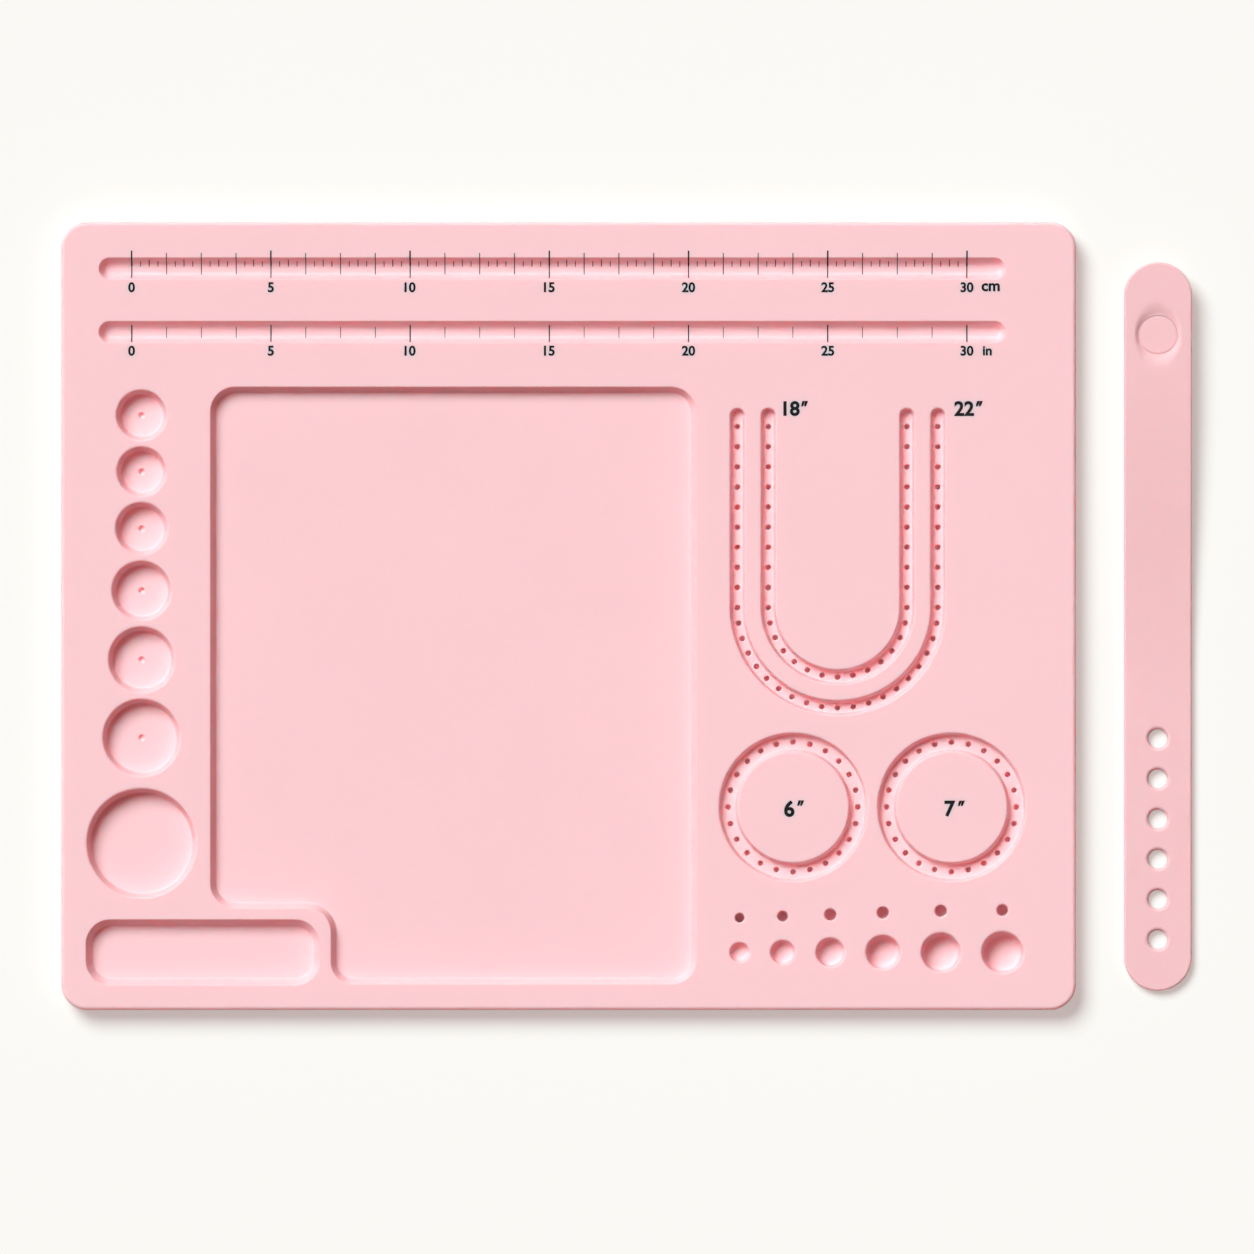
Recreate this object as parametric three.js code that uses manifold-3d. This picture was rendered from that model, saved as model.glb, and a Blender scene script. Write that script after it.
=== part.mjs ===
// Silicone work mat for bead work, with the buttoned strap that holds it rolled up.
// Millimetres: X to the right, Y to the back, Z up. The origin is the centre of the
// mat's underside, and the strap lies by itself beside the mat's right edge.
import * as THREE from 'three';
import { mergeVertices } from 'three/addons/utils/BufferGeometryUtils.js';
import Module from 'manifold-3d';

const wasm = await Module();
wasm.setup();

// Sheet
const MAT_LENGTH = 364.5;
const MAT_WIDTH = 283;
const MAT_THICKNESS = 9;
const MAT_CORNER_RADIUS = 9.4;
const TOP_EDGE_RADIUS = 1.4;
const BASE_EDGE_RADIUS = 0.5;

// What every recess shares: its lip, its wall's draft from upright, its foot, and the
// overrun of a cut
const LIP_RADIUS = 0.4;
const WALL_DRAFT = Math.PI / 8;
const FOOT_RADIUS = 0.6;
const ROUND_FLOOR_SHARE = 0.17;
const CUT_OVERRUN = 1;

// Ruler grooves along the back edge
const RULE_WIDTH = 8.3;
const RULE_LEFT_MARGIN = 13.3;
const RULE_RIGHT_MARGIN = 25;
const RULE_BACK_MARGIN = 16.7;
const RULE_PITCH = 22.8;
const RULE_COUNT = 2;

// Column on the left, from the front: oblong tray, large dish, six cups
const COLUMN_MARGIN = 8.6;
const OBLONG_LENGTH = 84.6;
const OBLONG_WIDTH = 24.2;
const OBLONG_CORNER_RADIUS = 9.2;
const OBLONG_FRONT_MARGIN = 8.6;
const OBLONG_FLOOR = 3.4;
const DISH_RADIUS = 20.3;
const DISH_OBLONG_GAP = 6.8;
const DISH_CUP_GAP = 3.1;
const DISH_FLOOR = 2.4;
const CUP_RADII = [14.5, 12.5, 11.3, 10, 9.5, 9.7];
const CUP_WEB = 1;
const CUP_FLOOR = 2.8;
const CUP_MARK_RADIUS = 0.9;
const CUP_MARK_DEPTH = 0.7;

// Main tray, with a step in its front left corner for the oblong tray
const TRAY_DISH_GAP = 4.3;
const TRAY_RULE_GAP = 19.4;
const TRAY_FRONT_MARGIN = 9;
const TRAY_STEP_RIB = 3.4;
const TRAY_CORNER_RADIUS = 9.3;
const TRAY_STEP_RADIUS = 8.3;
const TRAY_FLOOR = 4.2;

// Two ring channels for bracelets
const RING_RADIUS = 23.3;
const RING_WIDTH = 7.9;
const RING_GAP = 2.4;
const RING_RIGHT_MARGIN = 17.4;
const RING_TRAY_GAP = 7.3;
const RING_PINS = 24;

// Two nested U channels for necklaces
const CHANNEL_WIDTH = 6.8;
const CHANNEL_DEPTH = 4.2;
const OUTER_CHANNEL_RADIUS = 36;
const INNER_CHANNEL_RADIUS = 24.9;
const CHANNEL_TRAY_GAP = 10.9;
const CHANNEL_RING_GAP = 5;
const CHANNEL_BACK_DROP = 7.4;
const LEG_PINS = 11;
const OUTER_ARC_PINS = 19;
const INNER_ARC_PINS = 13;

// Peg hole, a blind hole in the floor of a channel
const PIN_RADIUS = 1.1;
const PIN_DEPTH = 2.2;
const PIN_TAPER_SHARE = 0.8;
const PIN_LAND = 0.25;

// Bead gauge: six round sockets and a small blind hole behind each
const SOCKET_RADII = [3.95, 4.8, 5.6, 6.6, 7.5, 7.9];
const SOCKET_DEPTH_SHARE = 0.78;
const SOCKET_WEB = 6.7;
const SOCKET_RIGHT_MARGIN = 18.5;
const SOCKET_RING_GAP = 17;
const GAUGE_HOLE_RADII = [1.65, 1.85, 2.1, 2.1, 2.1, 2];
const GAUGE_HOLE_RISE = 9.65;
const GAUGE_HOLE_RISE_SHARE = 0.69;
const GAUGE_HOLE_LIP = 0.35;
const GAUGE_HOLE_FOOT = 0.7;
const GAUGE_HOLE_FLOOR = 2.6;

// Strap band
const STRAP_LENGTH = 261.8;
const STRAP_WIDTH = 24.4;
const STRAP_THICKNESS = 3.5;
const STRAP_EDGE_RADIUS = 0.8;
const STRAP_GAP = 17.3;
const STRAP_FRONT_INSET = 6.8;
const STRAP_RISE_LENGTH = 112;
const HOLE_COUNT = 6;
const HOLE_RADIUS = 3.35;
const HOLE_RIM_RADIUS = 1.4;
const HOLE_PITCH = 14.45;
const HOLE_FRONT_INSET = 18.4;

// Button stud and its seat in the band
const STUD_BACK_INSET = 26;
const HEAD_RADIUS = 6.85;
const HEAD_THICKNESS = 1;
const HEAD_SINK = 1.3;
const HEAD_EDGE_RADIUS = 0.3;
const NECK_CLEARANCE = 0.35;
const NECK_PLAY = 0.2;
const KNOB_HEIGHT = 1.9;
const KNOB_OVERHANG = 1.35;
const KNOB_FOOT_SHARE = 0.55;
const SEAT_GAP = 0.3;
const SCOOP_LENGTH = 25.2;
const SCOOP_WIDTH = 17.6;
const SCOOP_DEPTH = 1;

// How finely the round stretches are cut into flat faces
const CORNER_STEPS = 6;
const CUP_STEPS = 24;
const SOCKET_STEPS = 16;
const GAUGE_HOLE_STEPS = 8;
const PIN_STEPS = 6;
const MARK_STEPS = 6;
const RING_STEPS = 30;
const CHANNEL_ARC_STEPS = 20;
const CHANNEL_END_STEPS = 5;
const RULE_END_STEPS = 7;
const LIP_STEPS = 2;
const FOOT_STEPS = 2;
const ROUND_FLOOR_STEPS = 3;
const STRAP_END_STEPS = 9;
const STRAP_RISE_STEPS = 8;
const HOLE_STEPS = 16;
const SCOOP_STEPS = 24;
const SCOOP_RINGS = 3;
const STUD_STEPS = 24;

// Silicone
const MAT_PINK = '#f9c8cd';
const STRAP_PINK = '#f5c4c8';
const SILICONE_ROUGHNESS = 0.55;

const QUARTER_TURN = Math.PI / 2;
const FULL_TURN = 2 * Math.PI;

// Places on the sheet that several recesses share
const matLeft = -MAT_LENGTH / 2;
const matRight = MAT_LENGTH / 2;
const matFront = -MAT_WIDTH / 2;
const matBack = MAT_WIDTH / 2;
const columnLeft = matLeft + COLUMN_MARGIN;
const columnX = columnLeft + DISH_RADIUS;
const oblongFront = matFront + OBLONG_FRONT_MARGIN;
const oblongBack = oblongFront + OBLONG_WIDTH;
const oblongRight = columnLeft + OBLONG_LENGTH;
const dishY = oblongBack + DISH_OBLONG_GAP + DISH_RADIUS;
const lastRuleY = matBack - RULE_BACK_MARGIN - (RULE_COUNT - 1) * RULE_PITCH;
const ringReach = RING_RADIUS + RING_WIDTH / 2;
const rightRingX = matRight - RING_RIGHT_MARGIN - ringReach;
const leftRingX = rightRingX - RING_GAP - 2 * ringReach;
const trayLeft = columnX + DISH_RADIUS + TRAY_DISH_GAP;
const trayRight = leftRingX - ringReach - RING_TRAY_GAP;
const trayFront = matFront + TRAY_FRONT_MARGIN;
const trayBack = lastRuleY - TRAY_RULE_GAP;
const largestSocket = Math.max(...SOCKET_RADII);
const socketY = oblongFront + OBLONG_WIDTH / 2;
const ringY = socketY + largestSocket + SOCKET_RING_GAP + ringReach;
const channelX = trayRight + CHANNEL_TRAY_GAP + CHANNEL_WIDTH / 2 + OUTER_CHANNEL_RADIUS;
const channelY = ringY + ringReach + CHANNEL_RING_GAP + CHANNEL_WIDTH / 2 + OUTER_CHANNEL_RADIUS;
const channelBack = trayBack - CHANNEL_BACK_DROP;

// The stud's knob holds that end of the band up by its own height and the neck's grip
const neckGrip = STRAP_THICKNESS + NECK_PLAY;
const strapLift = KNOB_HEIGHT + neckGrip;
const studY = STRAP_LENGTH / 2 - STUD_BACK_INSET;
const headTop = strapLift + STRAP_THICKNESS - HEAD_SINK;
const headBase = headTop - HEAD_THICKNESS;
const neckRadius = HOLE_RADIUS - NECK_CLEARANCE;

// Joins an indexed triangle list into a solid
function solidFromTriangles(positions, triangles) {
  const mesh = new wasm.Mesh({
    numProp: 3,
    vertProperties: new Float32Array(positions),
    triVerts: new Uint32Array(triangles),
  });
  return new wasm.Manifold(mesh);
}

// A solid from one of the library's closed geometries
function solidFromGeometry(geometry) {
  const bare = geometry.clone();
  bare.deleteAttribute('normal');
  bare.deleteAttribute('uv');
  const merged = mergeVertices(bare);
  return solidFromTriangles(merged.attributes.position.array, merged.index.array);
}

// A solid turned about Z from a half section, given as [radius, height] from foot to top
function turned(section, steps, x, y) {
  const points = section.map(([radius, height]) => new THREE.Vector2(radius, height));
  const geometry = new THREE.LatheGeometry(points, steps);
  geometry.rotateX(QUARTER_TURN);
  geometry.translate(x, y, 0);
  return solidFromGeometry(geometry);
}

// Flat ends of a stack of rings, cut into triangles that turn counterclockwise
function flatEnd(ring) {
  const outline = ring.map((point) => new THREE.Vector2(point.x, point.y));
  return THREE.ShapeUtils.triangulateShape(outline, []).map(([a, b, c]) => {
    const corner = [outline[a], outline[b], outline[c]];
    return THREE.ShapeUtils.area(corner) > 0 ? [a, b, c] : [a, c, b];
  });
}

// A closed solid through a stack of rings, lowest first, each with as many points
function loft(rings, end = flatEnd) {
  const count = rings[0].length;
  const triangles = [];
  for (let level = 0; level + 1 < rings.length; level++) {
    const low = level * count;
    const high = low + count;
    for (let i = 0; i < count; i++) {
      const next = (i + 1) % count;
      triangles.push(low + i, low + next, high + next);
      triangles.push(low + i, high + next, high + i);
    }
  }
  const top = (rings.length - 1) * count;
  end(rings[0]).forEach(([a, b, c]) => triangles.push(a, c, b));
  end(rings.at(-1)).forEach(([a, b, c]) => triangles.push(top + a, top + b, top + c));
  const positions = rings.flat().flatMap((point) => [point.x, point.y, point.z]);
  return solidFromTriangles(positions, triangles);
}

// Outlines are functions of how far the line is moved inwards, so that rings match
function circleOutline(x, y, radius, steps) {
  return (inset) => Array.from({ length: steps }, (_, i) => {
    const turn = (FULL_TURN * i) / steps;
    const reach = radius - inset;
    return new THREE.Vector2(x + reach * Math.cos(turn), y + reach * Math.sin(turn));
  });
}

function arcPoints(centre, radius, start, end, steps) {
  return Array.from({ length: steps + 1 }, (_, i) => {
    const turn = start + ((end - start) * i) / steps;
    return new THREE.Vector2(
      centre.x + radius * Math.cos(turn),
      centre.y + radius * Math.sin(turn),
    );
  });
}

// Counterclockwise corners [x, y, radius] joined by straight lines, each corner an arc.
// Moved inwards, an outer corner's radius shrinks and an inner corner's radius grows.
function roundedOutline(corners, steps) {
  const points = corners.map(([x, y]) => new THREE.Vector2(x, y));
  return (inset) => corners.flatMap(([, , radius], i) => {
    const before = points.at(i - 1);
    const after = points[(i + 1) % points.length];
    const arriving = points[i].clone().sub(before).normalize();
    const leaving = after.clone().sub(points[i]).normalize();
    const side = Math.sign(arriving.cross(leaving));
    const bend = radius - side * inset;
    const arrivingIn = new THREE.Vector2(-arriving.y, arriving.x);
    const leavingIn = new THREE.Vector2(-leaving.y, leaving.x);
    const towards = arrivingIn.clone().add(leavingIn);
    const centre = points[i].clone().addScaledVector(towards, inset + side * bend);
    const start = Math.atan2(-side * arrivingIn.y, -side * arrivingIn.x);
    return arcPoints(centre, bend, start, start + side * QUARTER_TURN, steps);
  });
}

function boxCorners(left, right, front, back, radius) {
  return [[left, front, radius], [right, front, radius], [right, back, radius], [left, back, radius]];
}

// Levels of a recess, from its lip down, each with its inset and its drop below the face
function lipLevels(radius, end = QUARTER_TURN) {
  return Array.from({ length: LIP_STEPS + 1 }, (_, i) => {
    const turn = (end * i) / LIP_STEPS;
    return { inset: radius * Math.sin(turn), drop: radius * (1 - Math.cos(turn)) };
  });
}

// A drafted wall runs straight from the lip's arc to the foot's arc, touching both
function trayLevels(depth) {
  const upright = QUARTER_TURN - WALL_DRAFT;
  const levels = lipLevels(LIP_RADIUS, upright);
  const lip = levels.at(-1);
  const wallDrop = depth - FOOT_RADIUS * (1 - Math.sin(WALL_DRAFT));
  const wallInset = lip.inset + (wallDrop - lip.drop) * Math.tan(WALL_DRAFT);
  for (let i = 0; i <= FOOT_STEPS; i++) {
    const turn = WALL_DRAFT + (upright * i) / FOOT_STEPS;
    const inset = wallInset + FOOT_RADIUS * (Math.cos(WALL_DRAFT) - Math.cos(turn));
    levels.push({ inset, drop: depth - FOOT_RADIUS * (1 - Math.sin(turn)) });
  }
  return levels;
}

// A round bottom, whose arc ends at a narrow flat floor of the given half width
function roundLevels(halfWidth, depth, flat = ROUND_FLOOR_SHARE * halfWidth) {
  const levels = lipLevels(LIP_RADIUS);
  const bowl = halfWidth - LIP_RADIUS;
  const lastTurn = Math.acos(Math.min(flat / bowl, 1));
  for (let i = 1; i <= ROUND_FLOOR_STEPS; i++) {
    const turn = (lastTurn * i) / ROUND_FLOOR_STEPS;
    const inset = LIP_RADIUS + bowl * (1 - Math.cos(turn));
    levels.push({ inset, drop: LIP_RADIUS + (depth - LIP_RADIUS) * Math.sin(turn) });
  }
  return levels;
}

// A channel's round bottom ends at a flat land just wide enough for its peg holes
function channelLevels(width) {
  return roundLevels(width / 2, CHANNEL_DEPTH, PIN_RADIUS + PIN_LAND);
}

// The solid that is cut away for a recess in the sheet's top face
function recess(outline, levels) {
  const rings = levels.map(({ inset, drop }) =>
    outline(inset).map(({ x, y }) => new THREE.Vector3(x, y, MAT_THICKNESS - drop)));
  const above = rings[0].map(({ x, y, z }) => new THREE.Vector3(x, y, z + CUT_OVERRUN));
  return loft([...rings.reverse(), above]);
}

function pinHole(x, y, floor) {
  const length = PIN_DEPTH + LIP_RADIUS;
  const tip = PIN_RADIUS * PIN_TAPER_SHARE;
  const geometry = new THREE.CylinderGeometry(PIN_RADIUS, tip, length, PIN_STEPS);
  geometry.rotateX(QUARTER_TURN);
  geometry.translate(x, y, floor - PIN_DEPTH + length / 2);
  return solidFromGeometry(geometry);
}

// Blank sheet with a softly rounded top edge
function matBlank() {
  const corners = boxCorners(matLeft, matRight, matFront, matBack, MAT_CORNER_RADIUS);
  const outline = roundedOutline(corners, CORNER_STEPS);
  const ring = (inset, z) => outline(inset).map(({ x, y }) => new THREE.Vector3(x, y, z));
  const rings = [ring(BASE_EDGE_RADIUS, 0), ring(0, BASE_EDGE_RADIUS)];
  for (const { inset, drop } of lipLevels(TOP_EDGE_RADIUS).reverse()) {
    rings.push(ring(TOP_EDGE_RADIUS - inset, MAT_THICKNESS - drop));
  }
  return loft(rings);
}

function ruleGrooves() {
  const halfWidth = RULE_WIDTH / 2;
  return Array.from({ length: RULE_COUNT }, (_, i) => {
    const y = matBack - RULE_BACK_MARGIN - i * RULE_PITCH;
    const left = new THREE.Vector2(matLeft + RULE_LEFT_MARGIN + halfWidth, y);
    const right = new THREE.Vector2(matRight - RULE_RIGHT_MARGIN - halfWidth, y);
    const outline = (inset) => [
      ...arcPoints(right, halfWidth - inset, -QUARTER_TURN, QUARTER_TURN, RULE_END_STEPS),
      ...arcPoints(left, halfWidth - inset, QUARTER_TURN, Math.PI + QUARTER_TURN, RULE_END_STEPS),
    ];
    return recess(outline, roundLevels(halfWidth, halfWidth));
  });
}

function columnRecesses() {
  const oblong = boxCorners(columnLeft, oblongRight, oblongFront, oblongBack, OBLONG_CORNER_RADIUS);
  const oblongLevels = trayLevels(MAT_THICKNESS - OBLONG_FLOOR);
  const dishLevels = trayLevels(MAT_THICKNESS - DISH_FLOOR);
  const cupLevels = trayLevels(MAT_THICKNESS - CUP_FLOOR);
  const cuts = [
    recess(roundedOutline(oblong, CORNER_STEPS), oblongLevels),
    recess(circleOutline(columnX, dishY, DISH_RADIUS, CUP_STEPS), dishLevels),
  ];
  let front = dishY + DISH_RADIUS + DISH_CUP_GAP;
  for (const radius of CUP_RADII) {
    const y = front + radius;
    cuts.push(recess(circleOutline(columnX, y, radius, CUP_STEPS), cupLevels));
    const mark = [
      [0, CUP_FLOOR - CUP_MARK_DEPTH],
      [CUP_MARK_RADIUS, CUP_FLOOR],
      [CUP_MARK_RADIUS, CUP_FLOOR + CUP_MARK_DEPTH],
      [0, CUP_FLOOR + CUP_MARK_DEPTH],
    ];
    cuts.push(turned(mark, MARK_STEPS, columnX, y));
    front = y + radius + CUP_WEB;
  }
  return cuts;
}

function mainTray() {
  const stepX = oblongRight + TRAY_STEP_RIB;
  const stepY = oblongBack + TRAY_STEP_RIB;
  const corners = [
    [stepX, trayFront, TRAY_STEP_RADIUS],
    [trayRight, trayFront, TRAY_CORNER_RADIUS],
    [trayRight, trayBack, TRAY_CORNER_RADIUS],
    [trayLeft, trayBack, TRAY_CORNER_RADIUS],
    [trayLeft, stepY, TRAY_CORNER_RADIUS],
    [stepX, stepY, TRAY_STEP_RADIUS],
  ];
  return recess(roundedOutline(corners, CORNER_STEPS), trayLevels(MAT_THICKNESS - TRAY_FLOOR));
}

// A ring channel is one closed section turned about the ring's centre
function ringChannel(x) {
  const halfWidth = RING_WIDTH / 2;
  const levels = channelLevels(RING_WIDTH);
  const wall = (side) => levels.map(({ inset, drop }) =>
    [RING_RADIUS + side * (halfWidth - inset), MAT_THICKNESS - drop]);
  const outerTop = [RING_RADIUS + halfWidth, MAT_THICKNESS + CUT_OVERRUN];
  const innerTop = [RING_RADIUS - halfWidth, MAT_THICKNESS + CUT_OVERRUN];
  const section = [outerTop, innerTop, ...wall(-1), ...wall(1).reverse(), outerTop];
  const floor = MAT_THICKNESS - levels.at(-1).drop;
  const pins = Array.from({ length: RING_PINS }, (_, i) => {
    const turn = (FULL_TURN * i) / RING_PINS;
    return pinHole(x + RING_RADIUS * Math.cos(turn), ringY + RING_RADIUS * Math.sin(turn), floor);
  });
  return [turned(section, RING_STEPS, x, ringY), ...pins];
}

// A U channel runs down its left leg, round its arc and up its right leg
function uChannel(radius, arcPins) {
  const halfWidth = CHANNEL_WIDTH / 2;
  const centre = new THREE.Vector2(channelX, channelY);
  const leftEnd = new THREE.Vector2(channelX - radius, channelBack);
  const rightEnd = new THREE.Vector2(channelX + radius, channelBack);
  const outline = (inset) => {
    const half = halfWidth - inset;
    return [
      ...arcPoints(leftEnd, half, 0, Math.PI, CHANNEL_END_STEPS),
      ...arcPoints(centre, radius + half, Math.PI, FULL_TURN, CHANNEL_ARC_STEPS),
      ...arcPoints(rightEnd, half, 0, Math.PI, CHANNEL_END_STEPS),
      ...arcPoints(centre, radius - half, FULL_TURN, Math.PI, CHANNEL_ARC_STEPS),
    ];
  };
  const levels = channelLevels(CHANNEL_WIDTH);
  const floor = MAT_THICKNESS - levels.at(-1).drop;
  const cuts = [recess(outline, levels)];
  for (let i = 0; i < LEG_PINS; i++) {
    const y = channelBack + ((channelY - channelBack) * i) / (LEG_PINS - 1);
    cuts.push(pinHole(leftEnd.x, y, floor), pinHole(rightEnd.x, y, floor));
  }
  for (let i = 1; i <= arcPins; i++) {
    const turn = Math.PI + (Math.PI * i) / (arcPins + 1);
    const x = channelX + radius * Math.cos(turn);
    cuts.push(pinHole(x, channelY + radius * Math.sin(turn), floor));
  }
  return cuts;
}

function beadGauge() {
  const cuts = [];
  let right = matRight - SOCKET_RIGHT_MARGIN;
  for (let i = SOCKET_RADII.length - 1; i >= 0; i--) {
    const radius = SOCKET_RADII[i];
    const x = right - radius;
    const levels = roundLevels(radius, radius * SOCKET_DEPTH_SHARE);
    cuts.push(recess(circleOutline(x, socketY, radius, SOCKET_STEPS), levels));
    const holeRadius = GAUGE_HOLE_RADII[i];
    const hole = [
      [0, GAUGE_HOLE_FLOOR],
      [holeRadius - GAUGE_HOLE_FOOT, GAUGE_HOLE_FLOOR],
      [holeRadius, GAUGE_HOLE_FLOOR + GAUGE_HOLE_FOOT],
      [holeRadius, MAT_THICKNESS - GAUGE_HOLE_LIP],
      [holeRadius + GAUGE_HOLE_LIP, MAT_THICKNESS],
      [holeRadius + GAUGE_HOLE_LIP, MAT_THICKNESS + CUT_OVERRUN],
      [0, MAT_THICKNESS + CUT_OVERRUN],
    ];
    const y = socketY + GAUGE_HOLE_RISE + GAUGE_HOLE_RISE_SHARE * radius;
    cuts.push(turned(hole, GAUGE_HOLE_STEPS, x, y));
    right = x - radius - SOCKET_WEB;
  }
  return cuts;
}

function matSolid() {
  const cuts = [
    ...ruleGrooves(),
    ...columnRecesses(),
    mainTray(),
    ...ringChannel(leftRingX),
    ...ringChannel(rightRingX),
    ...uChannel(OUTER_CHANNEL_RADIUS, OUTER_ARC_PINS),
    ...uChannel(INNER_CHANNEL_RADIUS, INNER_ARC_PINS),
    ...beadGauge(),
  ];
  return cuts.reduce((sheet, cut) => sheet.subtract(cut), matBlank());
}

// The band lies flat and rises in a gentle curve to the stud, whose knob is under it
function bandRise(y) {
  const riseEnd = studY - SCOOP_LENGTH / 2;
  return strapLift * THREE.MathUtils.smoothstep(y, riseEnd - STRAP_RISE_LENGTH, riseEnd);
}

// Right-hand edge of the band from its front tip to its back tip
function bandEdge(inset) {
  const reach = STRAP_WIDTH / 2 - inset;
  const straight = (STRAP_LENGTH - STRAP_WIDTH) / 2;
  const riseEnd = studY - SCOOP_LENGTH / 2;
  const front = arcPoints(new THREE.Vector2(0, -straight), reach, -QUARTER_TURN, 0, STRAP_END_STEPS);
  const back = arcPoints(new THREE.Vector2(0, straight), reach, 0, QUARTER_TURN, STRAP_END_STEPS);
  const rise = Array.from({ length: STRAP_RISE_STEPS + 1 }, (_, i) =>
    new THREE.Vector2(reach, riseEnd - STRAP_RISE_LENGTH * (1 - i / STRAP_RISE_STEPS)));
  return [...front, ...rise, ...back];
}

// Triangles across the band between its right edge and its left edge
function bandEnd(ring) {
  const tip = ring.length / 2;
  const triangles = [];
  for (let i = 0; i < tip; i++) {
    const left = (ring.length - i) % ring.length;
    const leftNext = ring.length - i - 1;
    if (i > 0) triangles.push([left, i, i + 1]);
    if (i + 1 < tip) triangles.push([left, i + 1, leftNext]);
  }
  return triangles;
}

function bandBlank() {
  const ring = (inset, level) => {
    const right = bandEdge(inset);
    const left = right.slice(1, -1).reverse();
    const point = (x, y) => new THREE.Vector3(x, y, bandRise(y) + level);
    return [...right.map(({ x, y }) => point(x, y)), ...left.map(({ x, y }) => point(-x, y))];
  };
  const rounds = lipLevels(STRAP_EDGE_RADIUS);
  const base = rounds.map(({ inset, drop }) => ring(STRAP_EDGE_RADIUS - inset, drop));
  const top = rounds.map(({ inset, drop }) =>
    ring(STRAP_EDGE_RADIUS - inset, STRAP_THICKNESS - drop));
  return loft([...base, ...top.reverse()], bandEnd);
}

// A through hole with a generously rounded upper rim
function bandHole(y) {
  const outer = HOLE_RADIUS + HOLE_RIM_RADIUS;
  const rim = lipLevels(HOLE_RIM_RADIUS)
    .map(({ inset, drop }) => [outer - inset, STRAP_THICKNESS - drop]);
  const section = [
    [0, -CUT_OVERRUN],
    [HOLE_RADIUS, -CUT_OVERRUN],
    ...rim.reverse(),
    [outer, STRAP_THICKNESS + CUT_OVERRUN],
    [0, STRAP_THICKNESS + CUT_OVERRUN],
  ];
  return turned(section, HOLE_STEPS, 0, y);
}

// The scoop is a shallow bowl drawn out along the band, so that a thumb finds the stud
function scoopCut(bandTop) {
  const profile = Array.from({ length: SCOOP_RINGS + 1 }, (_, i) => {
    const share = i / SCOOP_RINGS;
    return new THREE.Vector2(share, -SCOOP_DEPTH * (1 - share * share));
  });
  profile.push(new THREE.Vector2(1, CUT_OVERRUN), new THREE.Vector2(0, CUT_OVERRUN));
  const shape = new THREE.LatheGeometry(profile, SCOOP_STEPS);
  shape.rotateX(QUARTER_TURN);
  shape.scale(SCOOP_WIDTH / 2, SCOOP_LENGTH / 2, 1);
  shape.translate(0, studY, bandTop);
  return solidFromGeometry(shape);
}

// Scoop, pocket for the stud's head and bore for its neck
function studSeat() {
  const bandTop = strapLift + STRAP_THICKNESS;
  const bore = neckRadius + SEAT_GAP;
  const pocket = HEAD_RADIUS + SEAT_GAP;
  const section = [
    [0, strapLift - CUT_OVERRUN],
    [bore, strapLift - CUT_OVERRUN],
    [bore, headBase - SEAT_GAP],
    [pocket, headBase - SEAT_GAP],
    [pocket, bandTop],
    [0, bandTop],
  ];
  return scoopCut(bandTop).add(turned(section, STUD_STEPS, 0, studY));
}

function bandSolid() {
  let band = bandBlank().subtract(studSeat());
  for (let i = 0; i < HOLE_COUNT; i++) {
    const y = -STRAP_LENGTH / 2 + HOLE_FRONT_INSET + i * HOLE_PITCH;
    band = band.subtract(bandHole(y));
  }
  return band;
}

// Head in the scoop, neck through the band, and a knob that buttons into any hole
function studSolid() {
  const knobRadius = neckRadius + KNOB_OVERHANG;
  const section = [
    [0, 0],
    [knobRadius * KNOB_FOOT_SHARE, 0],
    [knobRadius, KNOB_HEIGHT / 2],
    [knobRadius, KNOB_HEIGHT - HEAD_EDGE_RADIUS],
    [knobRadius - HEAD_EDGE_RADIUS, KNOB_HEIGHT],
    [neckRadius, KNOB_HEIGHT],
    [neckRadius, headBase],
    [HEAD_RADIUS, headBase],
    [HEAD_RADIUS, headTop - HEAD_EDGE_RADIUS],
    [HEAD_RADIUS - HEAD_EDGE_RADIUS, headTop],
    [0, headTop],
  ];
  return turned(section, STUD_STEPS, 0, studY);
}

function namedMesh(name, solid, material) {
  const { vertProperties, triVerts } = solid.getMesh();
  const geometry = new THREE.BufferGeometry();
  geometry.setAttribute('position', new THREE.BufferAttribute(vertProperties, 3));
  geometry.setIndex(new THREE.BufferAttribute(triVerts, 1));
  geometry.computeVertexNormals();
  const mesh = new THREE.Mesh(geometry, material);
  mesh.name = name;
  return mesh;
}

function silicone(color) {
  return new THREE.MeshStandardMaterial({ color, roughness: SILICONE_ROUGHNESS, metalness: 0 });
}

const matSilicone = silicone(MAT_PINK);
const strapSilicone = silicone(STRAP_PINK);

const strap = new THREE.Group();
strap.position.set(
  matRight + STRAP_GAP + STRAP_WIDTH / 2,
  matFront + STRAP_FRONT_INSET + STRAP_LENGTH / 2,
  0,
);
strap.add(namedMesh('strap_band', bandSolid(), strapSilicone));
strap.add(namedMesh('strap_stud', studSolid(), strapSilicone));

const workMat = new THREE.Group();
workMat.add(namedMesh('mat', matSolid(), matSilicone));
workMat.add(strap);

export default workMat;
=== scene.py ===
# %% [markdown]
# A work mat for beads, and its strap
#
# The real object is two loose things. One is a soft sheet of silicone, moulded in one shot,
# whose tray, cups, channels and holes are all hollows of that one moulding. The other is
# a silicone band with a button stud, which holds the sheet rolled up.
#
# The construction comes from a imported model, which is loaded as a fixed frame. This lesson
# dresses it: every piece is modelled again with soft lips, rounded feet and a real finish,
# at the frame's places and sizes. All lengths are metres, with X right, Y back and Z up.

# %% Load the frame
import math
from contextlib import contextmanager

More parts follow.
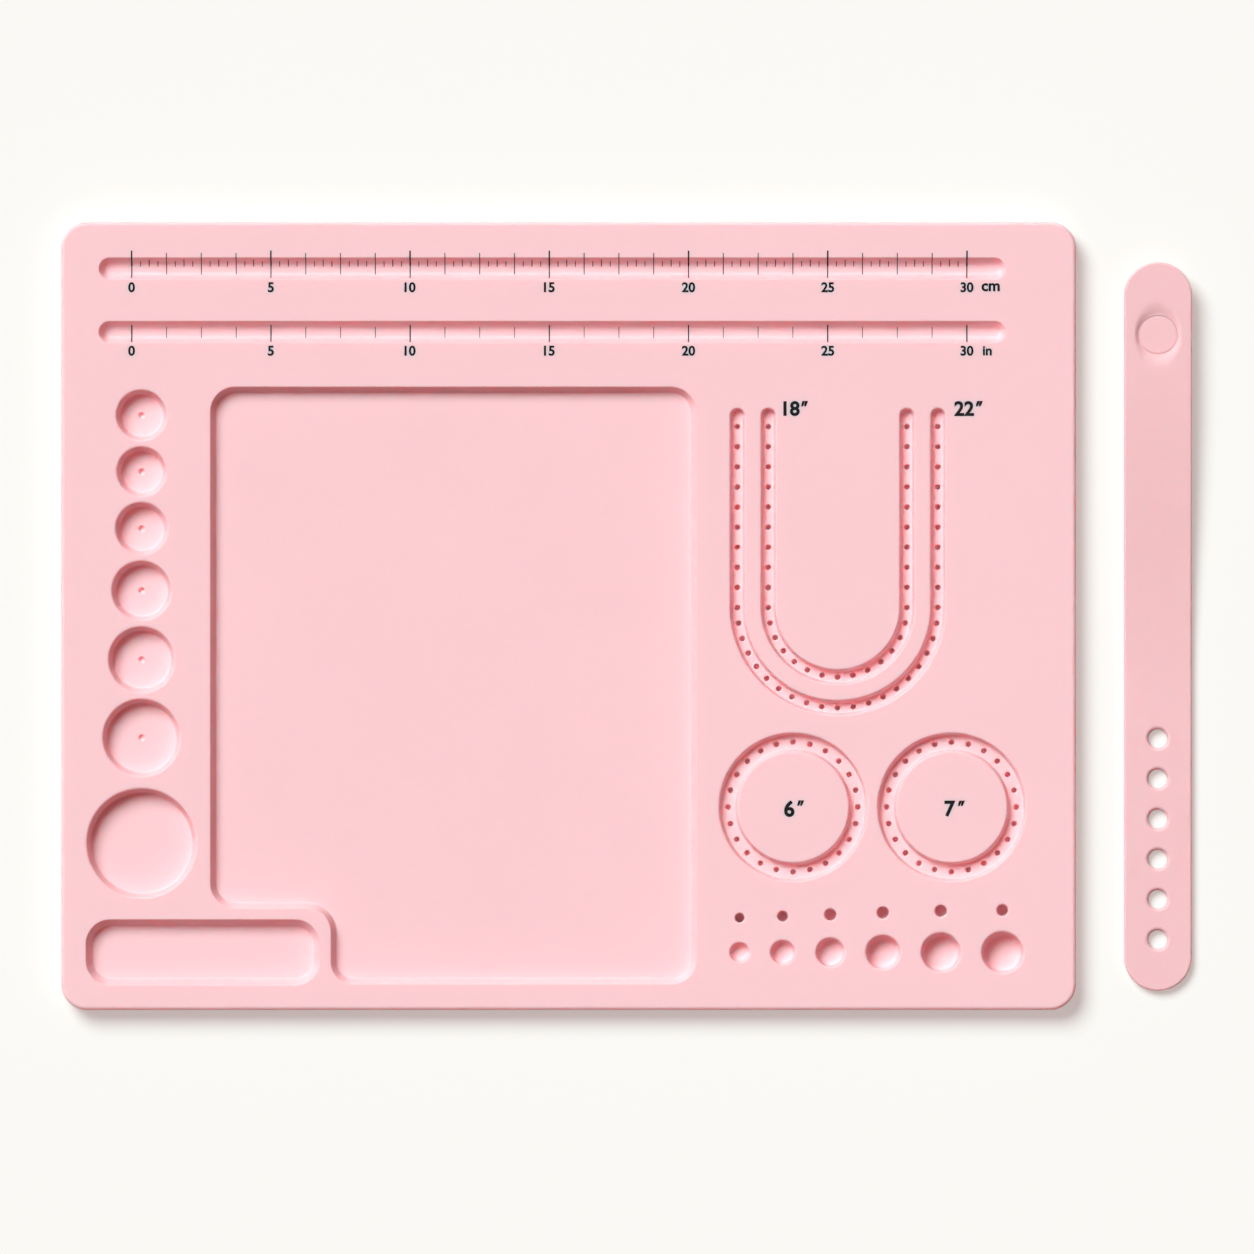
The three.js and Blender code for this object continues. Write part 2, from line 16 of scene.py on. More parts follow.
import bmesh
import bpy
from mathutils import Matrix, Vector


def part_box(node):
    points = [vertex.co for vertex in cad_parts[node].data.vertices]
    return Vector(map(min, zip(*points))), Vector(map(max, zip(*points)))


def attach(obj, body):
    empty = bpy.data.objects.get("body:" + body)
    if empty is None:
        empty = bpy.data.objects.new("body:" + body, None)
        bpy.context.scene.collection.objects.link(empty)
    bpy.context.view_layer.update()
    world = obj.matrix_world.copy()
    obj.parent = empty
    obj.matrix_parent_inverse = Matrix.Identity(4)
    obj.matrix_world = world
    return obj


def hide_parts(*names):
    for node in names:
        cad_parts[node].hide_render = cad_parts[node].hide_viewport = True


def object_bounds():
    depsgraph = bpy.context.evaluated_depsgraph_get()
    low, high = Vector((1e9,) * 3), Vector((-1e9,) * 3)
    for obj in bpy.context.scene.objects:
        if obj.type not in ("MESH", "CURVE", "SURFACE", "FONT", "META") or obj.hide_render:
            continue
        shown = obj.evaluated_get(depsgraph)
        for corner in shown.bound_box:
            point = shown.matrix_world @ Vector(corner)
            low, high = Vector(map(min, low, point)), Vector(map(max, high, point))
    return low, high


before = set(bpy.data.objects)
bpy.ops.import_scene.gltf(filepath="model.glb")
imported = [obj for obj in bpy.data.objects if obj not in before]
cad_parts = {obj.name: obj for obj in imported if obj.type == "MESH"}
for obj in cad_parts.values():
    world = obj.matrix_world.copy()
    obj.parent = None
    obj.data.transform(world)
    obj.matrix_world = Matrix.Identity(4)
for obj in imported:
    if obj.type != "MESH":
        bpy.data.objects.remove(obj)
cad_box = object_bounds()
mat_low, mat_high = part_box("mat")
band_low, band_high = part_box("strap_band")
stud_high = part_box("strap_stud")[1]
MM = 0.001
FACE_LEVEL = mat_high.z
print("sheet", [round(side / MM, 2) for side in mat_high - mat_low], "mm")

# %% [markdown]
# The camera comes first, because everything after it is seen through it. The photograph
# looks straight down and shows no perspective, so a long lens far above the sheet suits it.
# The sheet's own edges, named here in the photograph's pixels, give the scale and the centre.

# %% Camera
PHOTO_SIZE = 1254
SHEET_LEFT_PIXEL = 61
SHEET_RIGHT_PIXEL = 1076
SHEET_TOP_PIXEL = 222
SHEET_BOTTOM_PIXEL = 1010
CAMERA_DISTANCE = 9.0

pixel = (mat_high.x - mat_low.x) / (SHEET_RIGHT_PIXEL - SHEET_LEFT_PIXEL)
camera_x = (PHOTO_SIZE - SHEET_LEFT_PIXEL - SHEET_RIGHT_PIXEL) / 2 * pixel
camera_y = (SHEET_TOP_PIXEL + SHEET_BOTTOM_PIXEL - PHOTO_SIZE) / 2 * pixel
bpy.ops.object.camera_add(location=(camera_x, camera_y, FACE_LEVEL + CAMERA_DISTANCE))
camera = bpy.context.object
camera.name = "camera"
camera.data.lens = camera.data.sensor_width * CAMERA_DISTANCE / (PHOTO_SIZE * pixel)
bpy.context.scene.camera = camera
bpy.context.scene.view_settings.view_transform = "Standard"
print("one pixel is", round(pixel / MM, 4), "mm; the lens is", round(camera.data.lens, 1), "mm")

# %% [markdown]
# A silicone sheet on a white bench is lit by one large soft lamp from the upper left, with
# light from all round. A sun lamp with a wide disc does this evenly over the sheet, and
# its width sets how soft the edge of a shadow is. The photograph's shadows are rosy, even on
# the white bench, so the sky is rosy and the lamp has what the sky lacks. The two add up to
# one in each colour, so that a flat face renders about as its colour is written.

# %% Light
KEY_TOWARDS = Vector((-0.55, 0.7, 1))
KEY_SHARE = 0.81
KEY_DISC = math.radians(34)
SKY_COLOR = (1, 0.3, 0.27)
BENCH_COLOR = (0.956, 0.947, 0.913, 1)

bpy.ops.object.light_add(type="SUN")
key = bpy.context.object
key.name = "key_lamp"
key.rotation_euler = (-KEY_TOWARDS).to_track_quat("-Z", "Y").to_euler()
key.data.energy = KEY_SHARE * math.pi / KEY_TOWARDS.normalized().z
key.data.color = [(1 - (1 - KEY_SHARE) * part) / KEY_SHARE for part in SKY_COLOR]
key.data.angle = KEY_DISC


def seen_directly(tree):
    light_path = tree.nodes.new("ShaderNodeLightPath")
    seen = light_path.outputs["Is Camera Ray"]
    for ray in ("Is Glossy Ray", "Is Transmission Ray"):
        larger = tree.nodes.new("ShaderNodeMath")
        larger.operation = "MAXIMUM"
        tree.links.new(seen, larger.inputs[0])
        tree.links.new(light_path.outputs[ray], larger.inputs[1])
        seen = larger.outputs["Value"]
    return seen


world = bpy.data.worlds.new("studio")
world.use_nodes = True
bpy.context.scene.world = world
sky = world.node_tree.nodes["Background"]
sky.inputs["Color"].default_value = (*SKY_COLOR, 1)
sky.inputs["Strength"].default_value = 1 - KEY_SHARE
backdrop = world.node_tree.nodes.new("ShaderNodeBackground")
backdrop.inputs["Color"].default_value = BENCH_COLOR
mix = world.node_tree.nodes.new("ShaderNodeMixShader")
world.node_tree.links.new(seen_directly(world.node_tree), mix.inputs["Fac"])
world.node_tree.links.new(sky.outputs["Background"], mix.inputs[1])
world.node_tree.links.new(backdrop.outputs["Background"], mix.inputs[2])
world.node_tree.links.new(mix.outputs["Shader"], world.node_tree.nodes["World Output"].inputs["Surface"])
print("key lamp", round(key.data.energy, 2), "and sky", round(1 - KEY_SHARE, 2))

# %% [markdown]
# The bench is a plain pale plane. It isn't part of the object. To the eye it glows a
# little, which lightens the sheet's shadow on it as a lit table would, but it throws no
# more light on the sheet.

# %% Bench
BENCH_SIZE = 12
BENCH_ROUGHNESS = 0.9
BENCH_GLOW_SHARE = 0.43
bpy.ops.mesh.primitive_plane_add(size=BENCH_SIZE, location=(0, 0, cad_box[0].z))
bench = bpy.context.object
bench.name = "bench"
bench_finish = bpy.data.materials.new("bench_white")
bench_finish.use_nodes = True
bench_tree = bench_finish.node_tree
bench_surface = bench_tree.nodes["Principled BSDF"]
bench_surface.inputs["Base Color"].default_value = BENCH_COLOR
bench_surface.inputs["Roughness"].default_value = BENCH_ROUGHNESS
bench_surface.inputs["Specular IOR Level"].default_value = 0
glow = bench_tree.nodes.new("ShaderNodeEmission")
glow.inputs["Color"].default_value = BENCH_COLOR
glow_share = bench_tree.nodes.new("ShaderNodeMath")
glow_share.operation = "MULTIPLY"
glow_share.inputs[1].default_value = BENCH_GLOW_SHARE
bench_mix = bench_tree.nodes.new("ShaderNodeMixShader")
bench_tree.links.new(seen_directly(bench_tree), glow_share.inputs[0])
bench_tree.links.new(glow_share.outputs["Value"], bench_mix.inputs["Fac"])
bench_tree.links.new(bench_surface.outputs["BSDF"], bench_mix.inputs[1])
bench_tree.links.new(glow.outputs["Emission"], bench_mix.inputs[2])
bench_tree.links.new(bench_mix.outputs["Shader"], bench_tree.nodes["Material Output"].inputs["Surface"])
bench.data.materials.append(bench_finish)
print("bench at", round(bench.location.z / MM, 2), "mm")

# %% [markdown]
# Silicone is matte, soft and a little see-through: light that enters a lit face comes out
# again a few millimetres away, redder than it went in. That is why the shaded walls of
# a pink sheet look rose and not grey. Subsurface scattering with a long red radius gives
# this, and the Burley method keeps it free of noise in narrow hollows. A faint cloudiness
# and a very fine grain keep the faces from looking like plastic.

# %% Silicone
PINK = (0.97, 0.605, 0.635, 1)
STRAP_PINK = (0.92, 0.55, 0.575, 1)
SCATTER_RADIUS = (1, 0.12, 0.1)
MAT_SCATTER_LENGTH = 3.5 * MM
STRAP_SCATTER_LENGTH = 1.2 * MM
SILICONE_IOR = 1.41
SILICONE_GLOSS = 0.2
SILICONE_ROUGHNESS = 0.5
CLOUD_TINT_SHARE = 0.985
CLOUD_START_SHARE = 0.3
CLOUD_END_SHARE = 0.7
CLOUDS_PER_METRE = 22
GRAINS_PER_METRE = 1600
GRAIN_STRENGTH = 0.12
GRAIN_HEIGHT = 0.05 * MM


def add_node(tree, kind, **settings):
    node = tree.nodes.new(kind)
    for name, value in settings.items():
        node.inputs[name].default_value = value
    return node


def silicone(name, color, scatter_length):
    finish = bpy.data.materials.new(name)
    finish.use_nodes = True
    tree = finish.node_tree
    surface = tree.nodes["Principled BSDF"]
    surface.inputs["Roughness"].default_value = SILICONE_ROUGHNESS
    surface.inputs["IOR"].default_value = SILICONE_IOR
    surface.inputs["Specular IOR Level"].default_value = SILICONE_GLOSS
    surface.subsurface_method = "BURLEY"
    surface.inputs["Subsurface Weight"].default_value = 1
    surface.inputs["Subsurface Radius"].default_value = SCATTER_RADIUS
    surface.inputs["Subsurface Scale"].default_value = scatter_length
    place = tree.nodes.new("ShaderNodeTexCoord")

    cloud = add_node(tree, "ShaderNodeTexNoise", Scale=CLOUDS_PER_METRE, Detail=3)
    tint = tree.nodes.new("ShaderNodeValToRGB")
    tint.color_ramp.elements[0].position = CLOUD_START_SHARE
    tint.color_ramp.elements[1].position = CLOUD_END_SHARE
    tint.color_ramp.elements[0].color = [value * CLOUD_TINT_SHARE for value in color[:3]] + [1]
    tint.color_ramp.elements[1].color = color
    tree.links.new(place.outputs["Object"], cloud.inputs["Vector"])
    tree.links.new(cloud.outputs["Fac"], tint.inputs["Fac"])
    tree.links.new(tint.outputs["Color"], surface.inputs["Base Color"])

    grain = add_node(tree, "ShaderNodeTexNoise", Scale=GRAINS_PER_METRE, Detail=2)
    bump = add_node(tree, "ShaderNodeBump", Strength=GRAIN_STRENGTH, Distance=GRAIN_HEIGHT)
    tree.links.new(place.outputs["Object"], grain.inputs["Vector"])
    tree.links.new(grain.outputs["Fac"], bump.inputs["Height"])
    tree.links.new(bump.outputs["Normal"], surface.inputs["Normal"])
    return finish


mat_finish = silicone("pink_silicone", PINK, MAT_SCATTER_LENGTH)
strap_finish = silicone("strap_silicone", STRAP_PINK, STRAP_SCATTER_LENGTH)
print("finishes", mat_finish.name, strap_finish.name)

# %% [markdown]
# A mould maker cuts the hollows of such a sheet one by one, and so does this lesson: each
# hollow is a solid plug, and the plugs are taken away from a plain sheet. A plug starts as
# its outline, flat on the sheet's face, and is sunk level by level with inset, which moves
# the outline inwards and down at once. So its lip, wall and foot keep their width round
# every corner, which scaling the outline wouldn't do. The trays' walls lean well back. Those
# of the round and narrow hollows are steeper, under a softer lip.

# %% Helpers for plugs
CUT_OVERRUN = 1 * MM
LIP_RADIUS = 0.4 * MM
SOFT_LIP_RADIUS = 0.8 * MM
FOOT_RADIUS = 0.6 * MM
WALL_DRAFT = math.pi / 8
STEEP_DRAFT = math.pi / 14
WELD_DISTANCE = LIP_RADIUS / 1000
LIP_STEPS = 5
SMALL_LIP_STEPS = 3
FOOT_STEPS = 5


@contextmanager
def editing(piece):
    bpy.ops.object.select_all(action="DESELECT")
    piece.select_set(True)
    bpy.context.view_layer.objects.active = piece
    bpy.ops.object.mode_set(mode="EDIT")
    bpy.ops.mesh.select_mode(type="FACE")
    bpy.ops.mesh.select_all(action="SELECT")
    yield
    bpy.ops.object.mode_set(mode="OBJECT")


def select_points(piece, wanted):
    bpy.ops.mesh.select_mode(type="VERT")
    bpy.ops.mesh.select_all(action="DESELECT")
    mesh = bmesh.from_edit_mesh(piece.data)
    for point in mesh.verts:
        point.select_set(wanted(point.co))
    mesh.select_flush(True)
    bmesh.update_edit_mesh(piece.data)


def settle(piece):
    bpy.ops.object.select_all(action="DESELECT")
    piece.select_set(True)
    bpy.context.view_layer.objects.active = piece
    bpy.ops.object.transform_apply(location=True, rotation=True, scale=True)
    return piece


def lip_levels(radius, steps=LIP_STEPS, upright=math.pi / 2):
    turns = [upright * step / steps for step in range(1, steps + 1)]
    return [(radius * math.sin(turn), radius * (1 - math.cos(turn))) for turn in turns]


def wall_levels(depth, lip=LIP_RADIUS, foot=FOOT_RADIUS, draft=WALL_DRAFT):
    levels = lip_levels(lip, upright=math.pi / 2 - draft)
    lip_inset, lip_drop = levels[-1]
    wall_drop = depth - foot * (1 - math.sin(draft))
    wall_inset = lip_inset + (wall_drop - lip_drop) * math.tan(draft)
    for step in range(FOOT_STEPS + 1):
        turn = draft + (math.pi / 2 - draft) * step / FOOT_STEPS
        inset = wall_inset + foot * (math.cos(draft) - math.cos(turn))
        levels.append((inset, depth - foot * (1 - math.sin(turn))))
    return levels


def flatten(piece, level):
    for point in piece.data.vertices:
        if abs(point.co.z - level) < WELD_DISTANCE:
            point.co.z = level


def sink(plug, levels, face=FACE_LEVEL):
    with editing(plug):
        mesh = bmesh.from_edit_mesh(plug.data)
        mesh.normal_update()
        if sum(side.normal.z for side in mesh.faces) > 0:
            bpy.ops.mesh.flip_normals()
        bpy.ops.mesh.extrude_region_move(TRANSFORM_OT_translate={"value": (0, 0, -CUT_OVERRUN)})
        inset_before = 0
        drop_before = 0
        for inset, drop in levels:
            bpy.ops.mesh.inset(thickness=inset - inset_before, depth=drop - drop_before)
            inset_before = inset
            drop_before = drop
    flatten(plug, face)
    return plug


def disc(x, y, radius, steps, face=FACE_LEVEL):
    bpy.ops.mesh.primitive_circle_add(
        vertices=steps, radius=radius, fill_type="NGON", location=(x, y, face + CUT_OVERRUN)
    )
    return settle(bpy.context.object)


def rectangle(left, right, front, back):
    middle = ((left + right) / 2, (front + back) / 2, FACE_LEVEL + CUT_OVERRUN)
    bpy.ops.mesh.primitive_plane_add(size=1, location=middle)
    bpy.context.object.scale = (right - left, back - front, 1)
    return settle(bpy.context.object)


def round_corners(outline, radius, steps, wanted=lambda place: True):
    with editing(outline):
        select_points(outline, wanted)
        bpy.ops.mesh.bevel(offset=radius, segments=steps, affect="VERTICES", clamp_overlap=False)
        bpy.ops.mesh.select_all(action="SELECT")
        bpy.ops.mesh.remove_doubles(threshold=WELD_DISTANCE)
    return outline


def joined(pieces, name):
    bpy.ops.object.select_all(action="DESELECT")
    for piece in pieces:
        piece.select_set(True)
    bpy.context.view_layer.objects.active = pieces[0]
    bpy.ops.object.join()
    bpy.context.object.name = name
    return bpy.context.object


def cut(piece, plug):
    bpy.ops.object.select_all(action="DESELECT")
    piece.select_set(True)
    bpy.context.view_layer.objects.active = piece
    bpy.ops.object.modifier_add(type="BOOLEAN")
    modifier = piece.modifiers[-1]
    modifier.operation = "DIFFERENCE"
    modifier.solver = "EXACT"
    modifier.object = plug
    bpy.ops.object.modifier_apply(modifier=modifier.name)
    bpy.data.objects.remove(plug)


print("a lip has", len(lip_levels(LIP_RADIUS)), "levels")

# %% [markdown]
# The blank sheet is a cube drawn out to the sheet's size. Its four upright edges are
# bevelled first, which makes the corners, and then its top and bottom rims.

# %% Blank sheet
CORNER_RADIUS = 9.4 * MM
TOP_EDGE_RADIUS = 1.4 * MM
BASE_EDGE_RADIUS = 0.5 * MM
CORNER_STEPS = 18


def select_edges(piece, wanted):
    bpy.ops.mesh.select_mode(type="EDGE")
    bpy.ops.mesh.select_all(action="DESELECT")
    mesh = bmesh.from_edit_mesh(piece.data)
    for edge in mesh.edges:
        edge.select_set(wanted(edge.verts[0].co, edge.verts[1].co))
    bmesh.update_edit_mesh(piece.data)


bpy.ops.mesh.primitive_cube_add(size=1, location=(mat_low + mat_high) / 2)
work_mat = bpy.context.object
work_mat.name = "work_mat"
work_mat.scale = mat_high - mat_low
settle(work_mat)
with editing(work_mat):
    select_edges(work_mat, lambda a, b: abs(a.z - b.z) > TOP_EDGE_RADIUS)
    bpy.ops.mesh.bevel(offset=CORNER_RADIUS, segments=CORNER_STEPS, affect="EDGES")
    select_edges(work_mat, lambda a, b: min(a.z, b.z) > FACE_LEVEL - LIP_RADIUS)
    bpy.ops.mesh.bevel(offset=TOP_EDGE_RADIUS, segments=LIP_STEPS, affect="EDGES")
    select_edges(work_mat, lambda a, b: max(a.z, b.z) < mat_low.z + BASE_EDGE_RADIUS / 2)
    bpy.ops.mesh.bevel(offset=BASE_EDGE_RADIUS, segments=LIP_STEPS, affect="EDGES")
flatten(work_mat, FACE_LEVEL)
print("blank sheet", len(work_mat.data.polygons), "faces")

# %% [markdown]
# Two long grooves run along the back edge. Each is a capsule, a plane whose corners are
# rounded by half its width. Its walls lean as the trays' do, and end in a wide foot.

# %% Ruler grooves
RULE_WIDTH = 8.3 * MM
RULE_LEFT_MARGIN = 13.3 * MM
RULE_RIGHT_MARGIN = 25 * MM
RULE_BACK_MARGIN = 16.7 * MM
RULE_PITCH = 22.8 * MM
RULE_COUNT = 2
RULE_FOOT_RADIUS = 1.3 * MM
END_STEPS = 12

rule_places = [mat_high.y - RULE_BACK_MARGIN - row * RULE_PITCH for row in range(RULE_COUNT)]
rule_left = mat_low.x + RULE_LEFT_MARGIN
rule_right = mat_high.x - RULE_RIGHT_MARGIN
rule_levels = wall_levels(RULE_WIDTH / 2, foot=RULE_FOOT_RADIUS)
plugs = []
for y in rule_places:
    groove = rectangle(rule_left, rule_right, y - RULE_WIDTH / 2, y + RULE_WIDTH / 2)
    round_corners(groove, RULE_WIDTH / 2, END_STEPS)
    plugs.append(sink(groove, rule_levels))
print("grooves at", [round(y / MM, 1) for y in rule_places])

# %% [markdown]
# Down the left side runs a column: an oblong tray, a large dish and six cups. The cups share
# one recipe and differ only in radius, so a loop makes them. Each cup has a small dimple in
# its middle, where the mould's pin stood.

# %% Trays, dish and cups
COLUMN_MARGIN = 8.6 * MM
OBLONG_LENGTH = 84.6 * MM
OBLONG_WIDTH = 24.2 * MM
OBLONG_CORNER_RADIUS = 9.2 * MM
OBLONG_FLOOR = 3.4 * MM
DISH_RADIUS = 20.3 * MM
DISH_OBLONG_GAP = 6.8 * MM
DISH_CUP_GAP = 3.1 * MM
DISH_FLOOR = 2.4 * MM
CUP_RADII = [14.5 * MM, 12.5 * MM, 11.3 * MM, 10 * MM, 9.5 * MM, 9.7 * MM]
CUP_WEB = 1 * MM
CUP_FLOOR = 2.8 * MM
CUP_STEPS = 72
DIMPLE_RADIUS = 1.45 * MM
DIMPLE_DEPTH = 1.5 * MM
DIMPLE_LIP = 0.35 * MM
DIMPLE_STEPS = 20

column_left = mat_low.x + COLUMN_MARGIN
column_x = column_left + DISH_RADIUS
oblong_front = mat_low.y + COLUMN_MARGIN
oblong_back = oblong_front + OBLONG_WIDTH
oblong_right = column_left + OBLONG_LENGTH
oblong = rectangle(column_left, oblong_right, oblong_front, oblong_back)
round_corners(oblong, OBLONG_CORNER_RADIUS, CORNER_STEPS)
plugs.append(sink(oblong, wall_levels(FACE_LEVEL - OBLONG_FLOOR)))

dish_y = oblong_back + DISH_OBLONG_GAP + DISH_RADIUS
dish = disc(column_x, dish_y, DISH_RADIUS, CUP_STEPS)
dish_levels = wall_levels(FACE_LEVEL - DISH_FLOOR, SOFT_LIP_RADIUS, draft=STEEP_DRAFT)
plugs.append(sink(dish, dish_levels))

cup_levels = wall_levels(FACE_LEVEL - CUP_FLOOR, SOFT_LIP_RADIUS, draft=STEEP_DRAFT)
dimple_levels = lip_levels(DIMPLE_LIP, SMALL_LIP_STEPS) + [(DIMPLE_RADIUS / 2, DIMPLE_DEPTH)]
small_plugs = []
cup_front = dish_y + DISH_RADIUS + DISH_CUP_GAP
for radius in CUP_RADII:
    cup_y = cup_front + radius
    cup = disc(column_x, cup_y, radius, CUP_STEPS)
    plugs.append(sink(cup, cup_levels))
    dimple = disc(column_x, cup_y, DIMPLE_RADIUS, DIMPLE_STEPS, CUP_FLOOR)
    small_plugs.append(sink(dimple, dimple_levels, CUP_FLOOR))
    cup_front = cup_y + radius + CUP_WEB
print(len(CUP_RADII), "cups from", round(CUP_RADII[0] / MM, 1), "mm radius")

# %% [markdown]
# The main tray has a step in its front left corner, where the oblong tray takes its room.
# Its outline is a rectangle cut in two ways by bisect, with the corner face deleted and the
# rest melted into one face, and then rounded at each corner.

# %% Main tray
TRAY_DISH_GAP = 4.1 * MM
TRAY_RULE_GAP = 19.4 * MM
TRAY_FRONT_MARGIN = 9 * MM
TRAY_STEP_RIB = 3.4 * MM
TRAY_CORNER_RADIUS = 9.3 * MM
TRAY_STEP_RADIUS = 8.3 * MM
TRAY_FLOOR = 4.2 * MM
RING_TRAY_GAP = 7.3 * MM
RING_RADIUS = 23.3 * MM
RING_WIDTH = 7.9 * MM
RING_GAP = 2.4 * MM
RING_RIGHT_MARGIN = 17.4 * MM

ring_reach = RING_RADIUS + RING_WIDTH / 2
right_ring_x = mat_high.x - RING_RIGHT_MARGIN - ring_reach
left_ring_x = right_ring_x - RING_GAP - 2 * ring_reach
tray_left = column_x + DISH_RADIUS + TRAY_DISH_GAP
tray_right = left_ring_x - ring_reach - RING_TRAY_GAP
tray_front = mat_low.y + TRAY_FRONT_MARGIN
tray_back = rule_places[-1] - TRAY_RULE_GAP
step_x = oblong_right + TRAY_STEP_RIB
step_y = oblong_back + TRAY_STEP_RIB
step_corner = Vector((step_x, step_y, FACE_LEVEL))


def in_step(place):
    return place.x < step_x + CUT_OVERRUN and place.y < step_y + CUT_OVERRUN


def on_step_side(place):
    return in_step(place) and place.x > step_x - CUT_OVERRUN


def on_tray_side(place):
    return min(abs(place.x - tray_left), abs(place.x - tray_right)) < LIP_RADIUS


tray = rectangle(tray_left, tray_right, tray_front, tray_back)
with editing(tray):
    bpy.ops.mesh.bisect(plane_co=step_corner, plane_no=(1, 0, 0))
    bpy.ops.mesh.select_all(action="SELECT")
    bpy.ops.mesh.bisect(plane_co=step_corner, plane_no=(0, 1, 0))
    select_points(tray, in_step)
    bpy.ops.mesh.select_mode(type="FACE")
    bpy.ops.mesh.delete(type="FACE")
    bpy.ops.mesh.select_all(action="SELECT")
    bpy.ops.mesh.dissolve_limited(angle_limit=math.radians(1))

round_corners(tray, TRAY_STEP_RADIUS, CORNER_STEPS, on_step_side)
round_corners(tray, TRAY_CORNER_RADIUS, CORNER_STEPS, on_tray_side)
plugs.append(sink(tray, wall_levels(FACE_LEVEL - TRAY_FLOOR)))
print("tray", round((tray_right - tray_left) / MM, 1), "by", round((tray_back - tray_front) / MM, 1), "mm")

# %% [markdown]
# To the right of the tray lie two rings and two nested U shapes, in which a string of beads
# is laid out. A ring starts as a disc that is inset by the channel's width, and its middle
# is deleted. All four channels share one section, whose flat floor carries the peg holes.

# %% Ring channels
SOCKET_RADII = [3.95 * MM, 4.8 * MM, 5.6 * MM, 6.6 * MM, 7.5 * MM, 7.9 * MM]
SOCKET_RING_GAP = 17 * MM
CHANNEL_DEPTH = 3.6 * MM
CHANNEL_FOOT_RADIUS = 0.4 * MM
RING_STEPS = 96

socket_y = oblong_front + OBLONG_WIDTH / 2
ring_y = socket_y + max(SOCKET_RADII) + SOCKET_RING_GAP + ring_reach
channel_levels = wall_levels(CHANNEL_DEPTH, SOFT_LIP_RADIUS, CHANNEL_FOOT_RADIUS, STEEP_DRAFT)
for x in (left_ring_x, right_ring_x):
    ring = disc(x, ring_y, ring_reach, RING_STEPS)
    with editing(ring):
        bpy.ops.mesh.inset(thickness=RING_WIDTH)
        bpy.ops.mesh.delete(type="FACE")
    plugs.append(sink(ring, channel_levels))
print("rings at", round(left_ring_x / MM, 1), round(right_ring_x / MM, 1), "mm")

# %% [markdown]
# A U starts as its left leg, a plain strip. Spin carries the strip's front edge half a turn
# round the U's centre, and one extrusion makes the right leg. Then the ends are rounded.

# %% U channels
CHANNEL_WIDTH = 6.5 * MM
U_RADII = {"outer": 36 * MM, "inner": 24.9 * MM}
CHANNEL_TRAY_GAP = 11.3 * MM
CHANNEL_RING_GAP = 5.15 * MM
CHANNEL_BACK_DROP = 7.4 * MM
U_STEPS = 72

half_channel = CHANNEL_WIDTH / 2
channel_x = tray_right + CHANNEL_TRAY_GAP + half_channel + U_RADII["outer"]
channel_y = ring_y + ring_reach + CHANNEL_RING_GAP + half_channel + U_RADII["outer"]
channel_back = tray_back - CHANNEL_BACK_DROP
turning_point = (channel_x, channel_y, FACE_LEVEL + CUT_OVERRUN)


def u_plug(radius):
    left_leg = channel_x - radius
    strip = rectangle(left_leg - half_channel, left_leg + half_channel, channel_y, channel_back)
    with editing(strip):
        select_points(strip, lambda place: place.y < channel_y + LIP_RADIUS)
        bpy.ops.mesh.spin(steps=U_STEPS, angle=-math.pi, center=turning_point, axis=(0, 0, 1))
        along = {"value": (0, channel_back - channel_y, 0)}
        bpy.ops.mesh.extrude_region_move(TRANSFORM_OT_translate=along)
        bpy.ops.mesh.select_all(action="SELECT")
        bpy.ops.mesh.remove_doubles(threshold=WELD_DISTANCE)
        bpy.ops.mesh.normals_make_consistent()
        bpy.ops.mesh.dissolve_faces()
    round_corners(strip, half_channel, END_STEPS, lambda place: place.y > channel_back - LIP_RADIUS)
    return sink(strip, channel_levels)


for radius in U_RADII.values():
    plugs.append(u_plug(radius))
print("U centre", round(channel_x / MM, 2), round(channel_y / MM, 2), "mm")

# %% [markdown]
# A row of small blind peg holes follows every channel's middle line. One hole is modelled,
# and copies of its mesh stand at the places that the loops work out.

# %% Peg holes
PEG_RADIUS = 1.05 * MM
PEG_DEPTH = 3.4 * MM
PEG_RIM = 0.2 * MM
PEG_TAPER_SHARE = 0.8
PEG_STEPS = 20
RING_PEGS = 24
LEG_PEGS = 11
ARC_PEGS = {"outer": 19, "inner": 13}


def on_circle(x, y, radius, turn):
    return x + radius * math.cos(turn), y + radius * math.sin(turn)


peg_places = [
    on_circle(x, ring_y, RING_RADIUS, 2 * math.pi * peg / RING_PEGS)
    for x in (left_ring_x, right_ring_x)
    for peg in range(RING_PEGS)
]
for name, radius in U_RADII.items():
    for peg in range(LEG_PEGS):
        y = channel_back + (channel_y - channel_back) * peg / (LEG_PEGS - 1)
        peg_places += [(channel_x - radius, y), (channel_x + radius, y)]
    for peg in range(1, ARC_PEGS[name] + 1):
        turn = math.pi * (1 + peg / (ARC_PEGS[name] + 1))
        peg_places.append(on_circle(channel_x, channel_y, radius, turn))
print(len(peg_places), "peg holes")

# %% Peg hole plugs
taper = PEG_RADIUS * (1 - PEG_TAPER_SHARE)
peg_levels = lip_levels(PEG_RIM, SMALL_LIP_STEPS) + [(PEG_RIM + taper, PEG_DEPTH)]


def copied(piece, x, y):
    twin = piece.copy()
    twin.data = piece.data.copy()
    bpy.context.collection.objects.link(twin)
    twin.location = (x, y, 0)
    return settle(twin)


channel_floor = FACE_LEVEL - CHANNEL_DEPTH
peg_hole = disc(0, 0, PEG_RADIUS + PEG_RIM, PEG_STEPS, channel_floor)
sink(peg_hole, peg_levels, channel_floor)
small_plugs += [copied(peg_hole, x, y) for x, y in peg_places]
bpy.data.objects.remove(peg_hole)
print("peg holes start at", round(channel_floor / MM, 2), "mm")

